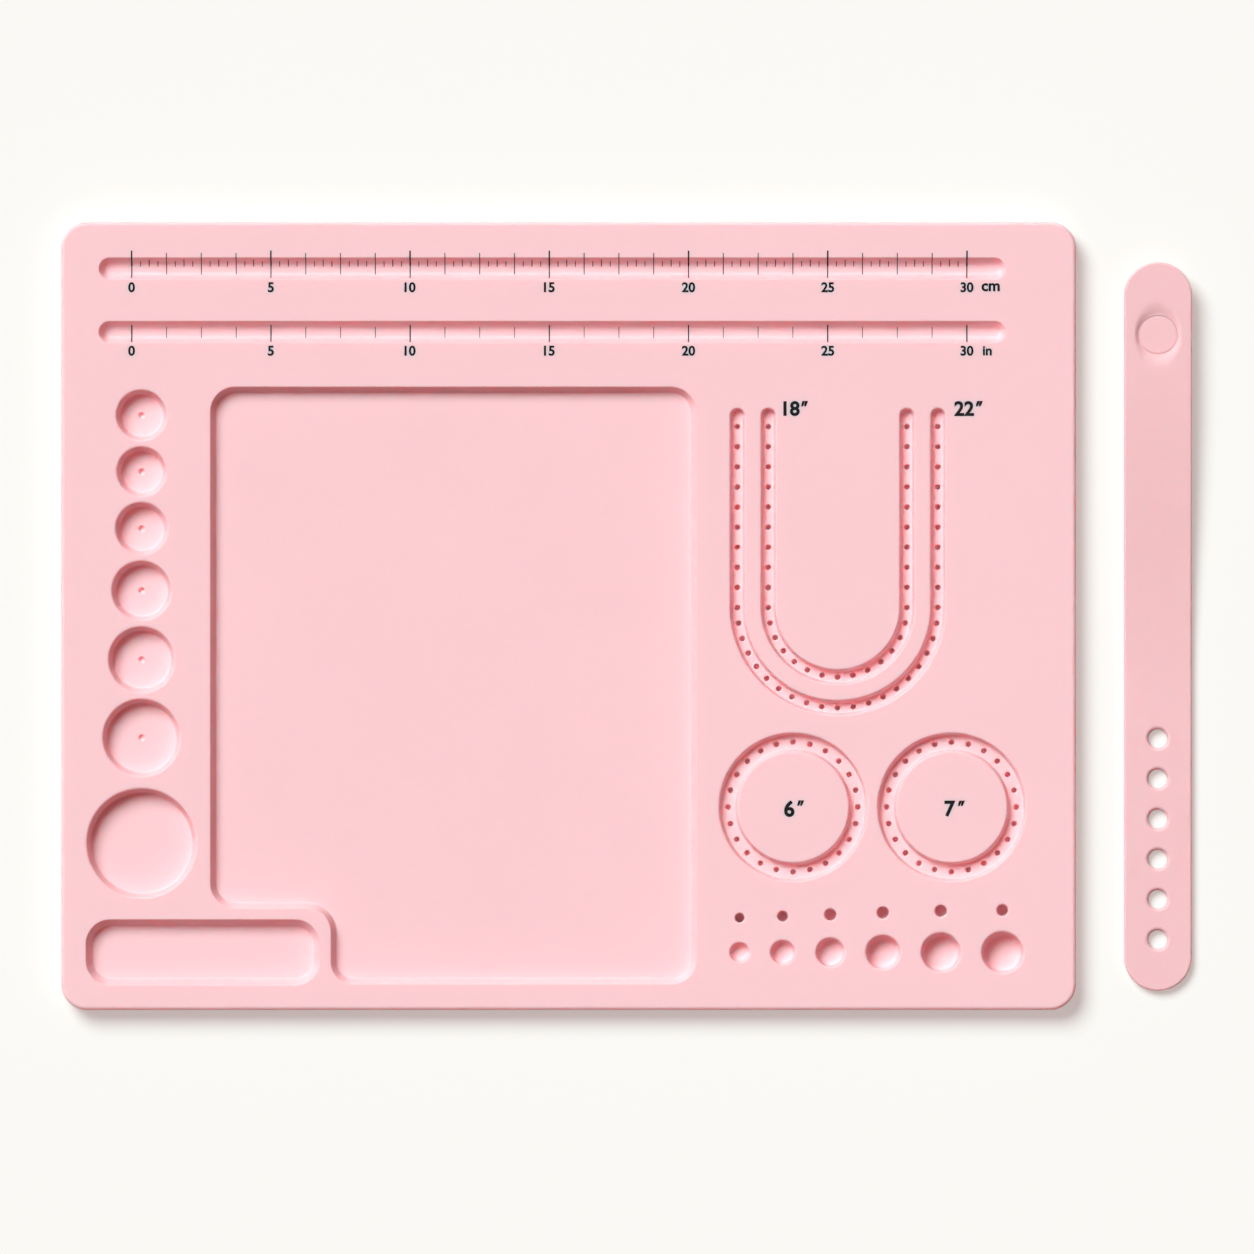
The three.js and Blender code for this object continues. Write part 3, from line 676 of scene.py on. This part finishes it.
# %% [markdown]
# Along the front edge six round sockets grow from left to right, to size a bead in. Their
# walls stand nearly upright and end in a wide foot. Behind each is a small blind hole. The
# row is laid out from its right end.

# %% Bead gauge
SOCKET_DEPTH_SHARE = 0.95
SOCKET_DRAFT = math.pi / 36
SOCKET_FOOT_RADIUS = 1.5 * MM
SOCKET_WEB = 6.7 * MM
SOCKET_RIGHT_MARGIN = 18.5 * MM
SOCKET_FLARE = 0.25 * MM
SOCKET_STEPS = 64
GAUGE_HOLE_RADII = [1.65 * MM, 1.85 * MM, 2.1 * MM, 2.1 * MM, 2.1 * MM, 2 * MM]
GAUGE_HOLE_RISE = 9.65 * MM
GAUGE_HOLE_RISE_SHARE = 0.69
GAUGE_HOLE_LIP = 0.6 * MM
GAUGE_HOLE_FOOT = 0.7 * MM
GAUGE_HOLE_FLOOR = 2.6 * MM
GAUGE_HOLE_STEPS = 32

gauge_levels = wall_levels(FACE_LEVEL - GAUGE_HOLE_FLOOR, GAUGE_HOLE_LIP, GAUGE_HOLE_FOOT, 0)
socket_right = mat_high.x - SOCKET_RIGHT_MARGIN
for radius, hole_radius in reversed(list(zip(SOCKET_RADII, GAUGE_HOLE_RADII))):
    x = socket_right - radius
    socket_depth = radius * SOCKET_DEPTH_SHARE
    socket_levels = wall_levels(socket_depth, SOFT_LIP_RADIUS, SOCKET_FOOT_RADIUS, SOCKET_DRAFT)
    plugs.append(sink(disc(x, socket_y, radius + SOCKET_FLARE, SOCKET_STEPS), socket_levels))
    y = socket_y + GAUGE_HOLE_RISE + GAUGE_HOLE_RISE_SHARE * radius
    hole = disc(x, y, hole_radius + GAUGE_HOLE_LIP, GAUGE_HOLE_STEPS)
    plugs.append(sink(hole, gauge_levels))
    socket_right = x - radius - SOCKET_WEB
print(len(SOCKET_RADII), "sockets in the row at", round(socket_y / MM, 1), "mm")

# %% [markdown]
# Now the sheet is cut. The large plugs are joined and taken away in one boolean, and then
# the small ones, because a peg hole's plug overlaps its channel's. Weighted Normal lets the
# wide flat faces set the shading, so that a lip is round without a smear on the face.

# %% Cut the sheet
cut(work_mat, joined(plugs, "plugs"))
cut(work_mat, joined(small_plugs, "small_plugs"))


def finished(piece, finish, body, node):
    bpy.ops.object.select_all(action="DESELECT")
    piece.select_set(True)
    bpy.context.view_layer.objects.active = piece
    bpy.ops.object.shade_smooth()
    bpy.ops.object.modifier_add(type="WEIGHTED_NORMAL")
    bpy.ops.object.modifier_apply(modifier=piece.modifiers[-1].name)
    piece.data.materials.clear()
    piece.data.materials.append(finish)
    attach(piece, body)
    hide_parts(node)


finished(work_mat, mat_finish, "mat", "mat")
work_mat.data.calc_loop_triangles()
print("sheet", len(work_mat.data.loop_triangles), "triangles")

# %% [markdown]
# The numbers and lines are printed on the silicone, so they are a thin black film that
# follows the sheet. A number is a text object with a little thickness, turned into a mesh.
# Its height and its middle are then measured and put where the sheet wants them.

# %% Print ink
INK = (0.008, 0.006, 0.007, 1)
INK_GLOSS = 0.1
INK_ROUGHNESS = 0.6
FILM = 0.03 * MM
LETTER_STEPS = 6

ink_finish = bpy.data.materials.new("black_ink")
ink_finish.use_nodes = True
ink_surface = ink_finish.node_tree.nodes["Principled BSDF"]
ink_surface.inputs["Base Color"].default_value = INK
ink_surface.inputs["Roughness"].default_value = INK_ROUGHNESS
ink_surface.inputs["Specular IOR Level"].default_value = INK_GLOSS


def lettering(words, x, y, height, weight, slant=0):
    bpy.ops.object.text_add()
    text = bpy.context.object
    text.data.body = words
    text.data.extrude = FILM
    text.data.offset = weight
    text.data.shear = slant
    text.data.resolution_u = LETTER_STEPS
    bpy.ops.object.convert(target="MESH")
    word = bpy.context.object
    low = Vector([min(point.co[axis] for point in word.data.vertices) for axis in range(3)])
    high = Vector([max(point.co[axis] for point in word.data.vertices) for axis in range(3)])
    for point in word.data.vertices:
        point.co -= (low + high) / 2
    scale = height / (high.y - low.y)
    word.scale = (scale, scale, 1)
    word.location = (x, y, FACE_LEVEL)
    return settle(word)


print("ink", ink_finish.name)

# %% [markdown]
# Both scales have a number at every fifth mark. The centimetre scale has four steps between
# two numbers, and three fine lines within each step. Each line is a narrow strip, given as
# its width and as where its back and front ends lie from the groove's middle. The strips
# are projected down onto the sheet, groove and all, and then thickened.

# %% Numbers
SCALE_START = 25.35 * MM
NUMBER_PITCH = 50 * MM
NUMBER_COUNT = 7
NUMBER_STEP = 5
DIGIT_HEIGHT = 3.65 * MM
DIGIT_WEIGHT = 0.03
NUMBER_DROP = 6.75 * MM
UNITS = [("cm", 8.5 * MM, 2.95 * MM), ("in", 7.3 * MM, 3.4 * MM)]

number_places = [mat_low.x + SCALE_START + place * NUMBER_PITCH for place in range(NUMBER_COUNT)]
numbers = []
for y in rule_places:
    for place, x in enumerate(number_places):
        word = str(place * NUMBER_STEP)
        numbers.append(lettering(word, x, y - NUMBER_DROP, DIGIT_HEIGHT, DIGIT_WEIGHT))
for (unit, gap, height), y in zip(UNITS, rule_places):
    numbers.append(lettering(unit, number_places[-1] + gap, y - NUMBER_DROP, height, DIGIT_WEIGHT))
ruler_numbers = joined(numbers, "ruler_numbers")
print("numbers at", [round(x / MM, 1) for x in number_places])

# %% Scale lines
STRIP_CUTS = 40
STEP_COUNT = 4
FINE_COUNT = 4
CM_MAIN_LINES = [(0.52 * MM, 6.4 * MM, 0.9 * MM), (0.36 * MM, 0.9 * MM, -3.4 * MM)]
CM_STEP_LINES = [(0.3 * MM, 5.6 * MM, -2.1 * MM)]
IN_MAIN_LINES = [(0.42 * MM, 2.6 * MM, -3.6 * MM)]
IN_STEP_LINES = [(0.24 * MM, 1.9 * MM, -2.2 * MM)]
LONG_FINE_LINE = (0.3 * MM, 3.2 * MM, 0.7 * MM)
FINE_LINE = (0.26 * MM, 2.7 * MM, 0.7 * MM)


def line_strip(x, y, size):
    width, back, front = size
    middle = (x, y + (back + front) / 2, FACE_LEVEL + CUT_OVERRUN)
    bpy.ops.mesh.primitive_plane_add(size=1, location=middle)
    strip = bpy.context.object
    strip.scale = (width, back - front, 1)
    return settle(strip)


strips = []
scales = [(CM_MAIN_LINES, CM_STEP_LINES), (IN_MAIN_LINES, IN_STEP_LINES)]
for y, (main_lines, step_lines) in zip(rule_places, scales):
    for place in range((NUMBER_COUNT - 1) * STEP_COUNT + 1):
        x = number_places[0] + NUMBER_PITCH * place / STEP_COUNT
        for size in step_lines if place % STEP_COUNT else main_lines:
            strips.append(line_strip(x, y, size))
for place in range((NUMBER_COUNT - 1) * STEP_COUNT * FINE_COUNT):
    x = number_places[0] + NUMBER_PITCH * place / STEP_COUNT / FINE_COUNT
    if place % FINE_COUNT:
        size = LONG_FINE_LINE if place % FINE_COUNT * 2 == FINE_COUNT else FINE_LINE
        strips.append(line_strip(x, rule_places[0], size))
print(len(strips), "lines")

# %% Lines onto the sheet
ruler_lines = joined(strips, "ruler_lines")
with editing(ruler_lines):
    select_edges(ruler_lines, lambda a, b: abs(a.y - b.y) > abs(a.x - b.x))
    bpy.ops.mesh.subdivide(number_cuts=STRIP_CUTS)
bpy.ops.object.modifier_add(type="SHRINKWRAP")
wrap = ruler_lines.modifiers[-1]
wrap.target = work_mat
wrap.wrap_method = "PROJECT"
wrap.use_project_z = True
wrap.use_negative_direction = True
wrap.use_positive_direction = False
wrap.offset = FILM / 3
bpy.ops.object.modifier_apply(modifier=wrap.name)
bpy.ops.object.modifier_add(type="SOLIDIFY")
film = ruler_lines.modifiers[-1]
film.thickness = FILM
film.offset = 1
bpy.ops.object.modifier_apply(modifier=film.name)
print("lines", len(ruler_lines.data.polygons), "faces")

# %% [markdown]
# Four labels name the channels. Two stand beside the top of a leg, and two in a ring's
# middle, a little to the left because a slanted inch mark follows the digits.

# %% Labels
LABEL_WEIGHT = 0.032
PRIME_SLANT = 0.35
PRIME_HEIGHT = 1.95 * MM
U_LABEL_DROP = 0.7 * MM
RING_LABEL_DROP = 0.55 * MM

near_leg_x = channel_x - U_RADII["inner"]
far_leg_x = channel_x + U_RADII["outer"]
u_label_y = channel_back - U_LABEL_DROP
ring_label_y = ring_y - RING_LABEL_DROP
LABELS = [
    ("18", near_leg_x, 8.3 * MM, u_label_y, 5.4 * MM, 1.75 * MM),
    ("22", far_leg_x, 9.4 * MM, u_label_y, 5.4 * MM, 1.85 * MM),
    ("6", left_ring_x, -1.4 * MM, ring_label_y, 6 * MM, 2.2 * MM),
    ("7", right_ring_x, -0.6 * MM, ring_label_y, 5.8 * MM, 2.1 * MM),
]
labels = []
for digits, beside, gap, y, height, prime_gap in LABELS:
    number = lettering(digits, beside + gap, y, height, LABEL_WEIGHT)
    right = max(point.co.x for point in number.data.vertices)
    prime_y = y + (height - PRIME_HEIGHT) / 2
    prime = lettering('"', right + prime_gap, prime_y, PRIME_HEIGHT, LABEL_WEIGHT, PRIME_SLANT)
    labels += [number, prime]
label_print = joined(labels, "label_print")
for piece in (ruler_numbers, ruler_lines, label_print):
    piece.data.materials.clear()
    piece.data.materials.append(ink_finish)
    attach(piece, "mat")
print("labels", [label[0] for label in LABELS])

# %% [markdown]
# The strap's band is a flat strip with round ends. Its outline is extruded to the band's
# thickness and its rims are bevelled. Then bisect cuts it across at even steps, so that the
# band can rise in a soft curve to the stud, whose knob is under it.

# %% Strap band
STRAP_THICKNESS = 3.5 * MM
STRAP_EDGE_RADIUS = 0.8 * MM
STRAP_RISE_LENGTH = 112 * MM
STRAP_END_STEPS = 36
RISE_CUTS = 48
STUD_BACK_INSET = 26 * MM
SCOOP_LENGTH = 25.2 * MM
SCOOP_WIDTH = 17.6 * MM

strap_lift = band_high.z - STRAP_THICKNESS
strap_x = (band_low.x + band_high.x) / 2
stud_y = band_high.y - STUD_BACK_INSET
rise_end = stud_y - SCOOP_LENGTH / 2
rise_start = rise_end - STRAP_RISE_LENGTH

band = rectangle(band_low.x, band_high.x, band_low.y, band_high.y)
band.name = "band"
round_corners(band, (band_high.x - band_low.x) / 2, STRAP_END_STEPS)
with editing(band):
    bpy.ops.mesh.extrude_region_move(TRANSFORM_OT_translate={"value": (0, 0, STRAP_THICKNESS)})
    bpy.ops.mesh.select_all(action="SELECT")
    bpy.ops.mesh.normals_make_consistent()
    bpy.ops.transform.translate(value=(0, 0, -FACE_LEVEL - CUT_OVERRUN))
    select_edges(band, lambda a, b: abs(a.z - b.z) < STRAP_EDGE_RADIUS)
    bpy.ops.mesh.bevel(offset=STRAP_EDGE_RADIUS, segments=LIP_STEPS, affect="EDGES")
print("band", [round(side / MM, 1) for side in band_high - band_low], "mm")

# %% Raise the band
def rise(y):
    share = min(max((y - rise_start) / STRAP_RISE_LENGTH, 0), 1)
    return strap_lift * share * share * (3 - 2 * share)


with editing(band):
    for slice_number in range(RISE_CUTS + 1):
        slice_y = rise_start + STRAP_RISE_LENGTH * slice_number / RISE_CUTS
        bpy.ops.mesh.select_all(action="SELECT")
        bpy.ops.mesh.bisect(plane_co=(0, slice_y, 0), plane_no=(0, 1, 0))
for point in band.data.vertices:
    point.co.z += rise(point.co.y)
print("stud end lifted by", round(strap_lift / MM, 1), "mm")

# %% [markdown]
# Six holes with generously rounded rims take the stud's knob. The scoop round the stud is
# drawn out along the band: its plug is a stack of rings that go from an oval at the band's
# face to the pocket's circle, and fall ever more steeply on the way. A pocket for the
# stud's head and a bore for its neck follow.

# %% Holes and seat
HOLE_COUNT = 6
HOLE_RADIUS = 3.35 * MM
HOLE_RIM_RADIUS = 1.4 * MM
HOLE_RIM_STEPS = 8
HOLE_PITCH = 14.45 * MM
HOLE_FRONT_INSET = 18.4 * MM
HOLE_STEPS = 48
HEAD_RADIUS = 6.85 * MM
HEAD_THICKNESS = 1 * MM
NECK_RADIUS = 3 * MM
SEAT_GAP = 0.15 * MM
SCOOP_DEPTH = 1.1 * MM
SCOOP_RINGS = 8
STUD_STEPS = 96

holes = []
for place in range(HOLE_COUNT):
    hole_y = band_low.y + HOLE_FRONT_INSET + place * HOLE_PITCH
    hole = disc(strap_x, hole_y, HOLE_RADIUS + HOLE_RIM_RADIUS, HOLE_STEPS, STRAP_THICKNESS)
    through = [(HOLE_RIM_RADIUS, STRAP_THICKNESS + CUT_OVERRUN)]
    holes.append(sink(hole, lip_levels(HOLE_RIM_RADIUS, HOLE_RIM_STEPS) + through, STRAP_THICKNESS))
cut(band, joined(holes, "holes"))

pocket_radius = HEAD_RADIUS + SEAT_GAP
scoop_end = pocket_radius + SEAT_GAP


def oval(share, level):
    across = scoop_end + share * (SCOOP_WIDTH / 2 - scoop_end)
    along = scoop_end + share * (SCOOP_LENGTH / 2 - scoop_end)
    turns = [2 * math.pi * step / STUD_STEPS for step in range(STUD_STEPS)]
    return [(strap_x + across * math.cos(turn), stud_y + along * math.sin(turn), level) for turn in turns]


def stacked(rings):
    points = [point for ring in rings for point in ring]
    count = len(rings[0])
    faces = [range(count), range(len(points) - count, len(points))]
    for start in range(0, len(points) - count, count):
        for step in range(count):
            after = (step + 1) % count
            faces.append([start + step, start + after, start + count + after, start + count + step])
    mesh = bpy.data.meshes.new("stack")
    mesh.from_pydata(points, [], [list(face) for face in faces])
    stack = bpy.data.objects.new("stack", mesh)
    bpy.context.collection.objects.link(stack)
    with editing(stack):
        bpy.ops.mesh.normals_make_consistent()
    return stack


rings = [oval(1, band_high.z + CUT_OVERRUN)]
for ring in range(SCOOP_RINGS + 1):
    fall = ring / SCOOP_RINGS
    rings.append(oval(1 - fall, band_high.z - SCOOP_DEPTH * fall * fall))
cut(band, stacked(rings))

head_base = stud_high.z - HEAD_THICKNESS
pocket_drop = band_high.z - head_base + SEAT_GAP
pocket_levels = [
    (0, pocket_drop),
    (HEAD_RADIUS - NECK_RADIUS, pocket_drop),
    (HEAD_RADIUS - NECK_RADIUS, STRAP_THICKNESS + CUT_OVERRUN),
]
pocket = disc(strap_x, stud_y, pocket_radius, STUD_STEPS, band_high.z)
cut(band, sink(pocket, pocket_levels, band_high.z))
finished(band, strap_finish, "strap", "strap_band")
print("holes", HOLE_COUNT, "and a scoop", round(SCOOP_LENGTH / MM, 1), "mm long")

# %% [markdown]
# The stud is turned: its half section is drawn as a line of points and spun once round. It
# has a flat head in the scoop, a neck through the band, and a knob with a tapered foot that
# buttons into any of the holes.

# %% Stud
KNOB_HEIGHT = 1.9 * MM
KNOB_OVERHANG = 1.35 * MM
KNOB_FOOT_SHARE = 0.55
STUD_EDGE_RADIUS = 0.15 * MM
STUD_EDGE_STEPS = 4

knob_radius = NECK_RADIUS + KNOB_OVERHANG
section = [
    (0, 0),
    (knob_radius * KNOB_FOOT_SHARE, 0),
    (knob_radius, KNOB_HEIGHT / 2),
    (knob_radius, KNOB_HEIGHT),
    (NECK_RADIUS, KNOB_HEIGHT),
    (NECK_RADIUS, head_base),
    (HEAD_RADIUS, head_base),
    (HEAD_RADIUS, stud_high.z),
    (0, stud_high.z),
]
bpy.ops.mesh.primitive_plane_add(size=1, location=(0, 0, 0))
stud = bpy.context.object
stud.name = "stud"
with editing(stud):
    bpy.ops.mesh.select_mode(type="VERT")
    bpy.ops.mesh.merge(type="CENTER")
    radius_before, level_before = section[0]
    for radius, level in section[1:]:
        along = {"value": (radius - radius_before, 0, level - level_before)}
        bpy.ops.mesh.extrude_region_move(TRANSFORM_OT_translate=along)
        radius_before, level_before = radius, level
    bpy.ops.mesh.select_all(action="SELECT")
    bpy.ops.mesh.spin(steps=STUD_STEPS, angle=2 * math.pi, center=(0, 0, 0), axis=(0, 0, 1))
    bpy.ops.mesh.select_all(action="SELECT")
    bpy.ops.mesh.remove_doubles(threshold=WELD_DISTANCE)
    bpy.ops.mesh.normals_make_consistent()
stud.location = (strap_x, stud_y, 0)
settle(stud)
bpy.ops.object.modifier_add(type="BEVEL")
softening = stud.modifiers[-1]
softening.width = STUD_EDGE_RADIUS
softening.segments = STUD_EDGE_STEPS
softening.limit_method = "ANGLE"
bpy.ops.object.modifier_apply(modifier=softening.name)
finished(stud, strap_finish, "strap", "strap_stud")
print("stud", round(2 * HEAD_RADIUS / MM, 1), "mm across")
